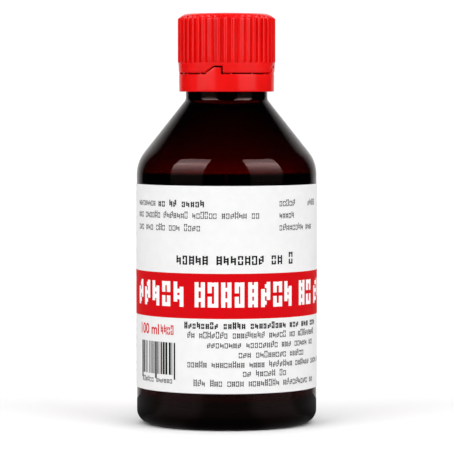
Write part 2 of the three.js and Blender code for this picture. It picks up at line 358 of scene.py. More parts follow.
def printInk(name, tone, wornTone, roughness, look=printInkLook):
    material, tree, shader = nodeMaterial(name)
    lay = addNoise(tree, look["layScale"], detail=4.0)
    share = mapValue(tree, lay, 0.4, 0.75, 0, 1)
    tree.links.new(mixColours(tree, share, tone, wornTone), shader.inputs["Base Color"])
    tree.links.new(mapValue(tree, lay, 0.3, 0.7, roughness, roughness + 0.1), shader.inputs["Roughness"])
    shader.inputs["Specular IOR Level"].default_value = look["shine"]
    fibres = addNoise(tree, look["fibreScale"], detail=5.0, roughness=0.7)
    addBump(tree, shader, fibres, look["fibreHeight"], look["fibreStrength"])
    return material


materials = {
    "glass": amberGlass(),
    "red": redPlastic(),
    "natural": naturalPlastic(),
    "paper": labelPaper(),
    "redInk": printInk("redInk", (0.63, 0.0012, 0.0045), (0.60, 0.0018, 0.0050), 0.45),
    "blackInk": printInk("blackInk", (0.012, 0.012, 0.013), (0.022, 0.022, 0.023), 0.5),
    "whiteInk": printInk("whiteInk", (0.90, 0.90, 0.90), (0.87, 0.86, 0.86), 0.5),
}
print("materials made:", len(materials))


# Glass bottle

glassLow, glassHigh = nodeBox("glass_bottle")
bottle = {
    "bodyRadius": (glassHigh[0] - glassLow[0]) / 2,
    "lipHeight": glassHigh[2],
    "shoulderCorner": 68.27,  # where the straight side and the shoulder's cone would meet
    "neckCorner": 84.5,
    "neckRadius": 10.64,
    "boreRadius": 6.75,
    "wall": 2.0,
    "pushUp": 1.75,  # how far the middle of the base stands above the floor
    "insideFoot": 3.1,
    "beltDepth": 0.95,  # how much thicker the wall is in a belt under the shoulder
    "beltTop": (63.7, 65.5),  # it grows from the second height down to the first
    "beltFoot": (50.0, 58.0),
    "finishRadius": 10.05,
    "collarRadius": 11.25,
    "collarFoot": 89.25,
    "columns": 288,
    "stipples": 72,
    "stippleHeight": 0.16,
    "stippleInside": (17.0, 17.4),  # radii between which the dents start and end
    "stippleOutside": (19.2, 19.6),
    "seamAngle": math.radians(97),
    "seamHeight": 0.05,
    "seamWidth": 0.16,
    "seamReach": 23.0,  # radius at which a seam's width is measured
    "seamFoot": (1.0, 4.0),
    "seamTop": (82, 86),
    "thread": {
        "start": 95.4, "pitch": 3.0, "turns": 2.0, "fade": 0.12,
        "root": 1.9, "crest": 0.6, "height": 0.88,
    },
}


def makeBottle(b=bottle):
    inner = b["bodyRadius"] - b["wall"]
    corners = [
        (0, b["pushUp"], 0), (9.0, b["pushUp"] - 0.15, 8), (15.2, 0.35, 2.5), (16.4, 0, 0.8),
        (b["bodyRadius"], 0, 3.8),
        (b["bodyRadius"], b["shoulderCorner"], 9.4),
        (b["neckRadius"], b["neckCorner"], 1.7),
        (b["neckRadius"], b["collarFoot"], 0.35), (b["collarRadius"], b["collarFoot"] + 0.45, 0.3),
        (b["collarRadius"], 90.6, 0.3),
        (b["collarRadius"] - 0.4, 91.55, 0.3), (b["finishRadius"], 92.1, 0.4),
        (b["finishRadius"], b["lipHeight"], 0.8),
        (b["boreRadius"], b["lipHeight"], 0.6),
        (b["boreRadius"], 83.0, 2.2), (9.0, 81.3, 5),
        (inner + 0.25, b["shoulderCorner"] - 0.6, 6.8), (inner, 50.0, 0),
        (inner, b["insideFoot"], 4.6), (8.5, 4.5, 7), (0, 4.8, 0),
    ]

    def spacing(r, z):
        if r > 9 and 93.5 < z < 103:
            return 0.17
        if z < 0.5 and 15 < r < 20:
            return 0.35
        if r < b["bodyRadius"] - 1 and 62 < z < 67:
            return 0.3
        return 2.6

    line = filletedLine(corners, spacing, arcStep=math.radians(6))
    outerRows = np.arange(len(line)) <= int(np.argmax(line[:, 1]))

    def reshape(r, z, a):
        outside = outerRows[:, None] & np.ones_like(a, bool)
        thread = b["thread"]
        onFinish = outside & (z > 92.2) & (z < b["lipHeight"] - 0.9)
        r = np.where(onFinish, r + thread["height"] * screwRidge(a, z, thread), r)
        # two mould seams, a low ridge each, up the body and shoulder
        fromSeam = np.abs(np.abs((a + math.pi) % (2 * math.pi) - math.pi) - b["seamAngle"])
        seam = np.exp(-(fromSeam * b["seamReach"] / b["seamWidth"]) ** 2)
        seam = seam * smoothStep(z, *b["seamFoot"]) * (1 - smoothStep(z, *b["seamTop"]))
        r = np.where(outside, r + b["seamHeight"] * seam * (r > 10), r)
        # the glass gathers into a thicker belt inside, just under the shoulder
        belt = (1 - smoothStep(z, *b["beltTop"])) * smoothStep(z, *b["beltFoot"])
        r = np.where(~outside & (r > 15), r - b["beltDepth"] * belt, r)
        # short radial dents in the standing ring, which only go up, so that it stands on its lands
        bars = smoothStep(np.abs(((a * b["stipples"] / (2 * math.pi)) % 1) - 0.5), 0.12, 0.30)
        band = smoothStep(r, *b["stippleInside"]) * (1 - smoothStep(r, *b["stippleOutside"]))
        z = np.where(outside & (z < 0.3), z + b["stippleHeight"] * bars * band, z)
        return r, z

    besideSeam = [math.radians(d) for d in (-0.8, -0.4, 0, 0.4, 0.8)]
    seamColumns = [side * b["seamAngle"] + d for side in (-1, 1) for d in besideSeam]
    points, faces = turnedGrid(line, evenAngles(b["columns"], 0, seamColumns), reshape)
    return meshPiece("glass_body", points, faces, materials["glass"], "bottle",
                     ["glass_bottle"])


glassBody = makeBottle()
print("glass bottle:", len(glassBody.data.polygons), "faces")


# Pouring insert

insertLow, insertHigh = nodeBox("pourer_insert")
insert = {
    "flangeRadius": (insertHigh[0] - insertLow[0]) / 2,
    "flangeBottom": bottle["lipHeight"] + 0.03,
    "flangeThickness": 0.8,
    "plugRadius": 6.69,
    "plugBottom": insertLow[2],
    "pourRadius": 4.25,
    "beadHeight": 0.05,
    "beadPitch": 1.7,
    "columns": 144,
}


def makeInsert(p=insert):
    top = p["flangeBottom"] + p["flangeThickness"]
    low = p["plugBottom"]
    corners = [
        (p["plugRadius"] - 1.0, low, 0.15), (p["plugRadius"] - 0.4, low, 0.2),
        (p["plugRadius"], low + 1.2, 0.4),
        (p["plugRadius"], p["flangeBottom"], 0.05),
        (p["flangeRadius"], p["flangeBottom"], 0.15), (p["flangeRadius"], top, 0.3),
        (p["pourRadius"] + 1.7, top, 0.2), (p["pourRadius"] + 1.1, top - 0.9, 0.15),
        (p["pourRadius"] + 0.6, top - 0.9, 0.15), (p["pourRadius"] + 0.4, top + 0.3, 0.12),
        (p["pourRadius"], top + 0.3, 0.12), (p["pourRadius"], top - 2.0, 0.2),
        (p["plugRadius"] - 1.0, top - 2.6, 0.3),
    ]
    line = filletedLine(corners, lambda r, z: 1.2, closed=True, arcStep=math.radians(15))

    def reshape(r, z, a):
        # three low sealing beads round the plug
        plug = (r > p["plugRadius"] - 0.5) & (z < p["flangeBottom"] - 0.4)
        beads = np.clip(np.cos((z - low) * 2 * math.pi / p["beadPitch"]), 0, 1) ** 4
        return np.where(plug, r - p["beadHeight"] + p["beadHeight"] * beads, r), z

    points, faces = turnedGrid(line, evenAngles(p["columns"]), reshape, closed=True)
    return meshPiece("pourer", points, faces, materials["natural"], "bottle",
                     ["pourer_insert"])


pourer = makeInsert()
print("pouring insert:", len(pourer.data.polygons), "faces")


# Tamper ring, its teeth and its breaking bridges

ring = {
    "bottom": nodeBox("tamper_ring")[0][2],
    "top": 91.0,
    "topRadius": 12.44,
    "bottomRadius": 12.38,
    "bore": 11.45,
    "hook": 10.88,  # the bead that catches under the glass collar
    "hookFoot": 87.9,
    "hookTop": 88.5,
    "hookSlope": 89.25,
    "columns": 360,
    "toothWall": [math.radians(-6.8 + 90 * quarter) for quarter in range(4)],
    "toothHeight": 1.75,
    "toothTop": 1.9,  # from a tooth's upright wall to the end of its flat top
    "toothFoot": 4.3,  # and to the foot of its slope
    "toothRoot": 0.6,  # how far down the ring's rows are drawn out into the teeth
    "bridgesPast": [math.radians(d) for d in (12, 39.5, 63)],
    "bridgeWidth": 0.8,
    "bridgeWaist": 0.4,
    "bridgeDepth": 0.5,
    "bridgeHeight": 0.60,
    "bridgeSunk": 0.06,  # how far a bridge's foot stands in the ring
    "bridgeSet": 0.30,  # how far the bridges stand back from the ring's face
    "bridgeSides": 16,
    "bridgeRows": 7,
}
toothReach = 12.4  # radius at which the teeth and notches are measured round the ring


# Height against arc length from the nearest tooth's upright wall, read off a polyline.
def roundTheTeeth(a, lengths, heights):
    along = np.full_like(a, 99.0)
    for wall in ring["toothWall"]:
        here = ((a - wall + math.pi) % (2 * math.pi) - math.pi) * toothReach
        along = np.where(np.abs(here) < np.abs(along), here, along)
    return np.interp(along, lengths, heights)


def toothColumns(lengths):
    return [wall + length / toothReach for wall in ring["toothWall"] for length in lengths]


def makeRing(p=ring):
    corners = [
        (p["bore"] - 0.12, p["bottom"], 0.12), (p["bottomRadius"], p["bottom"], 0.22),
        (p["topRadius"], p["top"], 0.13), (p["bore"], p["top"], 0.1),
        (p["bore"], p["hookSlope"], 0.25), (p["hook"], p["hookTop"], 0.25),
        (p["hook"], p["hookFoot"], 0.25),
    ]
    line = filletedLine(corners, lambda r, z: 0.5, closed=True, arcStep=math.radians(15))
    # a tooth's outline, from the foot of its slope to its upright wall, with its corners eased
    foot, crest, tall = p["toothFoot"], p["toothTop"], p["toothHeight"]
    lengths = [-foot - 0.12, -foot + 0.1, -crest - 0.1, -crest + 0.12, -0.16, -0.06, 0]
    heights = [0, 0.06, tall - 0.07, tall, tall, tall - 0.08, 0]

    def reshape(r, z, a):
        lift = roundTheTeeth(a, lengths, heights)
        rooted = p["top"] - p["toothRoot"]
        drawn = rooted + (z - rooted) * (p["top"] + lift - rooted) / (p["top"] - rooted)
        return r, np.where(z > rooted, drawn, z)

    columns = evenAngles(p["columns"], 0, toothColumns(lengths))
    points, faces = turnedGrid(line, columns, reshape, closed=True)
    return meshPiece("ring", points, faces, materials["red"], "ring", ["tamper_ring"])


# A bridge is a short bar across the gap: a superellipse section (|x|^4 + |y|^4 = 1) that narrows
# towards the cap, bent to the ring's curve and closed by a flat face at both ends.
def makeBridge(number, angle, p=ring):
    sides, rows = p["bridgeSides"], p["bridgeRows"]
    t = np.arange(sides) * 2 * math.pi / sides
    across = np.sign(np.cos(t)) * np.abs(np.cos(t)) ** 0.5
    deep = np.sign(np.sin(t)) * np.abs(np.sin(t)) ** 0.5
    rise = np.linspace(0, 1, rows)
    height = p["top"] - p["bridgeSunk"] + rise * p["bridgeHeight"]
    waist = smoothStep(rise, 0.0, 0.3) * (1 - smoothStep(rise, 0.75, 1))
    width = (p["bridgeWidth"] + (p["bridgeWaist"] - p["bridgeWidth"]) * waist) / 2
    depth = p["bridgeDepth"] / 2 * (1.0 - 0.25 * smoothStep(rise, 0.1, 0.85))
    radius = p["topRadius"] - p["bridgeSet"] - p["bridgeDepth"] / 2 - depth[:, None] * deep[None, :]
    turn = angle - width[:, None] * across[None, :] / toothReach
    upright = np.repeat(height[:, None], sides, axis=1)
    points = np.stack([radius * np.sin(turn), -radius * np.cos(turn), upright], axis=-1)
    row, column = np.arange(rows - 1)[:, None], np.arange(sides)
    nextColumn = (column + 1) % sides
    quads = np.stack([row * sides + column, (row + 1) * sides + column,
                      (row + 1) * sides + nextColumn, row * sides + nextColumn], axis=-1)
    ends = [column[None, :], ((rows - 1) * sides + column)[None, ::-1]]
    name = "bridge_%02d" % number
    return meshPiece(name, points, [quads.reshape(-1, 4)] + ends, materials["red"], "ring",
                     ["frangible_" + name])


ringPiece = makeRing()
bridgeAngles = [wall + past for wall in ring["toothWall"] for past in ring["bridgesPast"]]
bridges = [makeBridge(i + 1, angle) for i, angle in enumerate(bridgeAngles)]
print("tamper ring:", len(ringPiece.data.polygons), "faces,", len(bridges), "bridges")


# Screw cap

cap = {
    "top": nodeBox("screw_cap")[1][2],
    "bottom": 91.5,
    "lip": 91.28,  # a thin lip inside the skirt reaches part of the way down to the ring
    "lipRadius": 11.7,
    "ribs": 42,
    "ribColumns": (0, 0.10, 0.20, 0.24, 0.28, 0.39),  # from a crest, in rib pitches
    "ribAngle": math.radians(7.25),
    "crestRadius": 12.75,
    "ribDepth": 0.70,
    "ribFlanks": (0.20, 0.28),  # where a rib's side starts and ends, in rib pitches from its crest
    "ribRounding": 0.14,  # how far the crest's face has curved back where its side starts
    "ribBottom": 94.06,
    "bandTopRadius": 12.6,
    "bandBottomRadius": 12.46,
    "chamferTop": 10.95,
    "chamferRise": 1.28,
    "crown": 0.35,
    "bore": 11.25,
    "ceiling": 105.75,
    "plugFoot": 103.75,
    "beadFoot": 105.22,
    "notchOutline": (  # arc length from the upright wall, and height
        (-4.46, 91.5), (-4.28, 91.6), (-2.12, 93.12), (-1.96, 93.2),
        (0.37, 93.2), (0.45, 93.12), (0.49, 91.6), (0.62, 91.5),
    ),
    "notchRoot": 0.3,  # how far under the ribs the skirt starts to follow the notches
    "thread": {
        "start": 93.9, "pitch": 3.0, "turns": 2.25, "fade": 0.12,
        "root": 1.6, "crest": 0.5, "height": 0.88,
    },
    "gateRadius": 1.5,  # the shallow dimple in the top, and the stub of the moulding gate in it
    "gateDepth": 0.22,
    "sharpAngle": 28,  # degrees
}


def makeCap(p=cap):
    rim = p["top"] - p["crown"]
    chamferFoot = rim - p["chamferRise"]
    # from the middle of the ceiling: a plug for the insert's hole, a sealing bead, the wall and the
    # lip, then up the outside: the band, the ledge under the ribs, the chamfer and the top
    corners = [
        (0, p["ceiling"], 0), (2.8, p["ceiling"], 0.3), (3.15, p["plugFoot"], 0.2),
        (3.85, p["plugFoot"], 0.25), (4.05, 105.6, 0.1), (4.25, p["ceiling"], 0.1),
        (6.9, p["ceiling"], 0.1), (7.3, p["beadFoot"], 0.12), (7.9, p["beadFoot"], 0.12),
        (8.3, p["ceiling"], 0.1), (10.15, p["ceiling"], 0.4), (p["bore"], 104.65, 0.5),
        (p["bore"], 92.5, 0.3), (p["bore"] + 0.2, p["lip"], 0.08), (p["lipRadius"], p["lip"], 0.06),
        (p["lipRadius"], p["bottom"], 0.06), (p["bandBottomRadius"], p["bottom"], 0.16),
        (p["bandTopRadius"], p["ribBottom"] - 0.14, 0.06),
        (p["bandTopRadius"] + 0.02, p["ribBottom"] - 0.02, 0.0),
        (p["crestRadius"] - 0.03, p["ribBottom"] + 0.12, 0.0),
        (p["crestRadius"], p["ribBottom"] + 0.4, 0.0),
        (p["crestRadius"], chamferFoot, 0.5), (p["chamferTop"], rim, 2.2),
        (p["gateRadius"], p["top"] - 0.03, 0.2), (p["gateRadius"] - 0.3, p["top"] - p["gateDepth"], 0.1),
        (0.4, p["top"] - p["gateDepth"], 0.05), (0.35, p["top"] - 0.10, 0.05), (0, p["top"] - 0.10, 0),
    ]

    def spacing(r, z):
        if r < 11.3 and r > 11 and 93 < z < 101.6:
            return 0.30
        if r > 11.2 and z > chamferFoot - 0.3:
            return 0.15
        return 1.8

    line = filletedLine(corners, spacing, arcStep=math.radians(20))
    line = line[np.append(True, np.linalg.norm(np.diff(line, axis=0), axis=1) > 1e-4)]
    bottomRow = int(np.argmin(line[:, 1]))
    outerRows = np.arange(len(line)) > bottomRow
    notchLengths, notchHeights = zip(*p["notchOutline"])

    def reshape(r, z, a):
        outside = outerRows[:, None] & np.ones_like(a, bool)
        # the grooves between the ribs start at the ledge and run out over the chamfer
        fromCrest = np.abs(((a - p["ribAngle"]) * p["ribs"] / (2 * math.pi) + 0.5) % 1 - 0.5)
        curved = p["ribRounding"] * np.minimum(fromCrest / p["ribFlanks"][0], 1) ** 2
        groove = curved + (p["ribDepth"] - p["ribRounding"]) * smoothStep(fromCrest, *p["ribFlanks"])
        groove = groove * smoothStep(z, p["ribBottom"] - 0.02, p["ribBottom"] + 0.1)
        groove = groove * (1 - smoothStep(z, chamferFoot + 0.1, chamferFoot + 0.85))
        r = np.where(outside, r - groove, r)
        # screw thread on the inside wall, standing inwards
        thread = p["thread"]
        inWall = ~outside & (r > p["bore"] - 0.02) & (z > 92.8)
        r = np.where(inWall, r - thread["height"] * screwRidge(a, z, thread), r)
        # the notches: the skirt's rows are squeezed up to the notch's outline
        skirt = p["ribBottom"] - p["notchRoot"]
        edge = roundTheTeeth(a, notchLengths, notchHeights)
        low = z < skirt
        z = np.where(low, skirt - (skirt - z) * (skirt - edge) / (skirt - p["bottom"]), z)
        return r, z

    pitch = 2 * math.pi / p["ribs"]
    crests = p["ribAngle"] + np.arange(p["ribs"]) * pitch
    sides = np.array([side * part * pitch for part in p["ribColumns"] for side in (-1, 1)])
    columns = evenAngles(p["ribs"], p["ribAngle"] + pitch / 2,
                         np.concatenate([(crests[:, None] + sides).ravel(), toothColumns(notchLengths)]))
    points, faces = turnedGrid(line, columns, reshape)
    return meshPiece("cap_shell", points, faces, materials["red"], "cap", ["screw_cap"],
                     p["sharpAngle"])


capShell = makeCap()
print("screw cap:", len(capShell.data.polygons), "faces")


# Label and its print

labelLow, labelHigh = nodeBox("wrap_label")
label = {
    "inner": 23.535,
    "outer": 23.635,
    "bottom": labelLow[2],
    "top": labelHigh[2],
    "halfWrap": math.radians(179.7) * 23.635,  # arc length from the front to each end
    "bandBottom": 28.78,
    "bandTop": 40.3,
    "inkLift": 0.018,
    "inkSunk": 0.012,  # how far the print reaches into the paper, so that no gap shows
    "segments": 240,
}


# Closed flat boxes wrapped on a cylinder. boxes is (count, 4): left, right, bottom, top, with left
# and right as arc lengths from the front. Point = (r sin(s / R), -r cos(s / R), z).
def wrappedBoxes(boxes, inner, outer, segments):
    boxes = np.asarray(boxes, float).reshape(-1, 4)
    count, steps = len(boxes), segments + 1
    share = np.linspace(0, 1, steps)
    along = boxes[:, 0, None] + (boxes[:, 1] - boxes[:, 0])[:, None] * share
    turn = (along / label["outer"])[:, :, None]
    # the section's four corners: inner low, outer low, outer high, inner high
    radius = np.array([inner, outer, outer, inner])[None, None, :]
    height = boxes[:, [2, 2, 3, 3]][:, None, :] + np.zeros((1, steps, 1))
    points = np.stack([radius * np.sin(turn), -radius * np.cos(turn), height], axis=-1)
    base = (np.arange(count) * steps * 4)[:, None, None]
    step = (np.arange(segments) * 4)[None, :, None]
    corner, nextCorner = np.arange(4)[None, None, :], np.roll(np.arange(4), -1)[None, None, :]
    quads = np.stack([base + step + corner, base + step + 4 + corner,
                      base + step + 4 + nextCorner, base + step + nextCorner], axis=-1).reshape(-1, 4)
    start = (np.arange(count) * steps * 4)[:, None]
    ends = np.vstack([start + np.array([0, 1, 2, 3]), start + (steps - 1) * 4 + np.array([3, 2, 1, 0])])
    return points.reshape(-1, 3), [quads, ends]


def printedPiece(name, boxes, material, segments=1):
    inner, outer = label["outer"] - label["inkSunk"], label["outer"] + label["inkLift"]
    points, faces = wrappedBoxes(boxes, inner, outer, segments)
    return meshPiece(name, points, faces, material, "bottle", ["wrap_label"])


# An abstract mark that stands for one printed letter: two upright strokes, whole or broken, and the
# cross bars between them, in one of six plain patterns that belong to no alphabet. The numbers are
# shares of the mark's height.
markPatterns = {
    "ladder": [("left", 0.0, 1.0), ("right", 0.0, 1.0), ("bar", 0.22), ("bar", 0.64)],
    "rungs": [("left", 0.0, 1.0), ("right", 0.0, 1.0), ("bar", 0.12), ("bar", 0.43), ("bar", 0.74)],
    "twins": [("left", 0.0, 0.43), ("left", 0.57, 1.0), ("right", 0.0, 0.43), ("right", 0.57, 1.0),
              ("bar", 0.0), ("bar", 0.84)],
    "posts": [("left", 0.2, 1.0), ("right", 0.0, 0.8), ("bar", 0.30), ("bar", 0.56)],
    "slits": [("left", 0.0, 0.43), ("left", 0.57, 1.0), ("right", 0.0, 1.0), ("bar", 0.0), ("bar", 0.84)],
    "steps": [("left", 0.0, 0.72), ("right", 0.28, 1.0), ("bar", 0.1), ("bar", 0.43), ("bar", 0.76)],
}


def abstractMark(rng, left, base, width, height, stroke, capitals):
    tall = height * (1.0 if capitals or rng.random() < 0.25 else 0.76)
    pattern = list(markPatterns.values())[rng.integers(0, len(markPatterns))]
    right, thick = left + width, min(stroke * 0.9, tall * 0.16)
    strokes = []
    sides = {
        "left": (left, left + stroke),
        "right": (right - stroke, right),
        "bar": (left + stroke, right - stroke),
    }
    for kind, low, *high in pattern:
        top = base + tall * high[0] if high else base + tall * low + thick
        strokes.append((*sides[kind], base + tall * low, top))
    return strokes


# A line of abstract words between two arc lengths. words gives the marks in each word, or is
# drawn from the seeded generator until the line is full.
def abstractLine(rng, left, right, base, height, pitch, stroke, words=None, capitals=False):
    marks = max(1, int(round((right - left) / pitch)))
    if words is None:
        words = []
        while sum(words) + len(words) <= marks:
            words.append(int(rng.integers(2, 10)))
    strokes, place = [], 0
    for word in words:
        for _ in range(word):
            if place >= marks:
                return strokes
            wide = pitch * (0.70 + 0.10 * rng.random())
            strokes += abstractMark(rng, left + place * pitch, base, wide, height, stroke, capitals)
            place += 1
        place += 1
    return strokes


labelLines = {
    # left, right, base, height, pitch, stroke; arc lengths from the front, heights above the base
    "address": [(-29.8, -20.6, 57.25, 1.75, 1.02, 0.17), (-19.6, -5.6, 57.15, 1.85, 1.28, 0.34),
                (-29.8, 8.5, 54.25, 1.85, 1.10, 0.20), (-29.8, -6.4, 51.05, 1.85, 1.16, 0.20)],
    "series": [(14.4, 19.7, 57.3, 1.75, 1.10, 0.20), (25.6, 30.5, 57.2, 1.75, 1.20, 0.18),
               (14.4, 19.4, 54.2, 1.75, 1.02, 0.20), (14.4, 28.1, 51.1, 1.80, 1.12, 0.20)],
    "directions": [(-11.2, 30.5, 26.2, 1.75, 1.16, 0.36), (-10.3, 30.5, 23.8, 1.75, 1.08, 0.21),
                   (-5.0, 28.1, 21.3, 1.75, 1.12, 0.21), (3.1, 24.0, 18.8, 1.75, 1.14, 0.21),
                   (-10.3, 33.6, 16.3, 1.75, 1.08, 0.21), (4.2, 16.8, 14.0, 1.70, 1.14, 0.21),
                   (-8.6, 28.8, 11.5, 1.80, 1.10, 0.21)],
    "leftPanel": [(-63.0, -36.5, 59.6 - 2.15 * i, 1.3, 0.86, 0.16) for i in range(8)]
    + [(-63.0, -36.5, 26.0 - 2.15 * i, 1.3, 0.86, 0.16) for i in range(7)],
    "rightPanel": [(39.5, 66.0, 59.6 - 2.15 * i, 1.3, 0.86, 0.16) for i in range(8)]
    + [(39.5, 60.0, 26.0 - 2.15 * i, 1.3, 0.86, 0.16) for i in range(5)],
}


shortLines = {
    "subtitle": (-13.5, 19.2, 42.5, 3.05, 1.82, 0.44),
    "code": (-27.4, -14.2, 11.9, 1.45, 0.98, 0.17),
    "unit": (-18.8, -14.2, 24.4, 2.5, 1.15, 0.3),
}

# each word of the headline in the band: left, right, pitch, stroke, number of marks
headlineHeights = (31.7, 6.4)  # base and height
headlineWords = [
    (-29.8, -10.6, 3.85, 1.12, 5),
    (-8.3, 19.4, 3.46, 1.05, 8),
    (21.3, 28.1, 3.4, 1.05, 2),
    (29.6, 35.0, 5.2, 1.2, 1),
]

barcode = {
    "module": 0.23,
    "left": -28.2,
    "right": -13.2,
    "bottom": 14.1,
    "top": 22.4,
    "guardBottom": 12.9,
}


def makeLabel(p=label):
    half, lift = p["halfWrap"], p["inkLift"]
    sheet = [[-half, half, p["bottom"], p["top"]]]
    points, faces = wrappedBoxes(sheet, p["inner"], p["outer"], p["segments"])
    paper = meshPiece("label_paper", points, faces, materials["paper"], "bottle",
                      ["wrap_label"])
    pieces = [paper]

    band = [[-half, half, p["bandBottom"], p["bandTop"]]]
    pieces.append(printedPiece("label_band", band, materials["redInk"], p["segments"]))

    rng = np.random.default_rng(7)
    strokes = []
    for lines in labelLines.values():
        for line in lines:
            strokes += abstractLine(rng, *line)
    subtitle = abstractLine(rng, *shortLines["subtitle"], words=[5, 7, 2, 1])
    pieces.append(printedPiece("label_text", strokes + subtitle, materials["blackInk"]))

    rng = np.random.default_rng(12)
    headline = []
    for left, right, pitch, stroke, marks in headlineWords:
        place = (left, right, *headlineHeights, pitch, stroke)
        headline += abstractLine(rng, *place, words=[marks], capitals=True)
    points, faces = wrappedBoxes(headline, p["outer"] + lift * 0.4, p["outer"] + lift * 2, 2)
    pieces.append(meshPiece("label_headline", points, faces, materials["whiteInk"], "bottle",
                            ["wrap_label"]))

    # barcode: bars and gaps of one to three modules, with longer guard bars at the ends and middle
    rng = np.random.default_rng(5)
    widths = rng.choice([1, 1, 2, 2, 3], size=80)
    edges = barcode["left"] + barcode["module"] * np.cumsum(widths)
    edges = edges[edges < barcode["right"] - barcode["module"]]
    starts, stops = edges[0:-1:2], edges[1::2]
    bottoms, tops = np.full(len(starts), barcode["bottom"]), np.full(len(starts), barcode["top"])
    bars = np.column_stack([starts, stops, bottoms, tops])
    guards = [len(bars) // 2, 0, len(bars) - 1]
    bars[guards, 2] = barcode["guardBottom"]
    pieces.append(printedPiece("label_barcode", bars, materials["blackInk"]))
    rng = np.random.default_rng(3)
    digits = abstractLine(rng, *shortLines["code"], words=[6, 6])
    pieces.append(printedPiece("label_code", digits, materials["blackInk"]))
    unit = abstractLine(rng, *shortLines["unit"], words=[4])
    pieces.append(printedPiece("label_unit", unit, materials["redInk"]))
    return pieces


# The volume mark: extruded type, scaled to its height and wrapped with the same formula.
volumeMark = {
    "words": "100 ml",
    "left": -28.2,
    "base": 24.3,
    "height": 2.75,
    "width": 8.7,
    "swell": 0.018,  # how much the type is thickened, as a share of its size
}


def makeVolumeMark(p=volumeMark):
    curve = bpy.data.curves.new("volumeType", "FONT")
    curve.body = p["words"]
    curve.extrude = 0.5
    curve.offset = p["swell"]
    typed = bpy.data.objects.new("volumeType", curve)
    scene.collection.objects.link(typed)
    bpy.context.view_layer.update()
    mesh = bpy.data.meshes.new_from_object(typed.evaluated_get(bpy.context.evaluated_depsgraph_get()))
    bpy.data.objects.remove(typed)
    bm = bmesh.new()
    bm.from_mesh(mesh)
    bmesh.ops.remove_doubles(bm, verts=bm.verts, dist=1e-5)
    bmesh.ops.triangulate(bm, faces=bm.faces)
    bmesh.ops.recalc_face_normals(bm, faces=bm.faces)
    bm.to_mesh(mesh)
    bm.free()
    at = np.zeros(len(mesh.vertices) * 3, np.float32)
    mesh.vertices.foreach_get("co", at)
    at = at.reshape(-1, 3).astype(float)
    size = at.max(0) - at.min(0)
    along = p["left"] + (at[:, 0] - at[:, 0].min()) / size[0] * p["width"]
    height = p["base"] + (at[:, 1] - max(at[:, 1].min(), 0)) / size[1] * p["height"]
    outer = at[:, 2] > 0
    radius = label["outer"] + np.where(outer, label["inkLift"], -label["inkSunk"])
    turn = along / label["outer"]
    points = np.column_stack([radius * np.sin(turn), -radius * np.cos(turn), height]) * mm
    mesh.vertices.foreach_set("co", points.astype(np.float32).ravel())
    mesh.update()
    piece = bpy.data.objects.new("label_volume", mesh)
    return finished(piece, materials["redInk"], "bottle", ["wrap_label"])


labelPieces = makeLabel() + [makeVolumeMark()]
print("label:", len(labelPieces), "pieces")


# Floor, light and camera

studio = {
    "panelFacing": math.radians(34),  # from the front round to the line square to each light panel
    "panelSides": (-0.05, 0.90),  # its inner and outer edge, as shares of its distance
    "panelHeights": (-0.03, 0.70, 0.98, 1.24),  # foot, brightest place, where it has faded, top
    "panelSkirt": (0.3, 0.2),  # how far below its foot it starts to show and shows whole
    "panelGlow": (0.09, 6.0, 3.0),  # brightness at its foot, at its brightest place and above that
    "panelFall": 1.9,  # power of the fall from the brightest place to the foot
    "panelLean": 0.07,  # how much nearer to the front the inner edge is, for each unit of height
    "edge": 0.03,  # how wide the fade at the panels' edges is
    "backdrop": 1.05,
    "backFrom": (0.70, 1.02),  # how far back a direction must point to meet the white, from none to all
    "backLean": 0.22,
    "front": 0.007,
    "overhead": 2.7,
    "overheadSpread": math.radians(100),
    "overheadLean": math.radians(5),  # how far in front of straight up it stands
    "gleam": 0.82,
    "gleamBearing": math.radians(51),
    "gleamDistance": 1.0,
    "gleamSize": (0.85, 0.70),
    "gleamFoot": 0.05,
    "floorReach": 60.0,
    "floorLevel": -0.00005,
    "floorTone": 0.83,
    "floorRoughness": 0.9,
    "cardReach": (1.6, -0.75, 0.06),  # to both sides, forward and back
    "cardLevel": -0.00002,
    "cardGlow": (0.24, 0.10),  # brightness by the panels' bearing and away from it
    "cardBright": (math.radians(54), math.radians(21), math.radians(32)),  # bearing, half widths
    "cardShade": (0.024, 0.065, 0.30),  # radius of the darkest, radius where it ends, share left there
}


# a flat sheet, its top side up
def flatSheet(name, half, near, back, level, material):
    mesh = bpy.data.meshes.new(name)
    corners = [(-half, near, level), (half, near, level), (half, back, level), (-half, back, level)]
    mesh.from_pydata(corners, [], [(0, 1, 2, 3)])
    mesh.materials.append(material)
    sheet = bpy.data.objects.new(name, mesh)
    scene.collection.objects.link(sheet)
    return sheet


def makeFloor(s=studio):
    material, tree, shader = nodeMaterial("paleFloor")
    shader.inputs["Base Color"].default_value = (s["floorTone"], s["floorTone"], s["floorTone"], 1)
    shader.inputs["Roughness"].default_value = s["floorRoughness"]
    shader.inputs["Specular IOR Level"].default_value = 0.0
    far = s["floorReach"]
    floor = flatSheet("floor", far, -far, far, s["floorLevel"], material)
    floor.visible_glossy = False


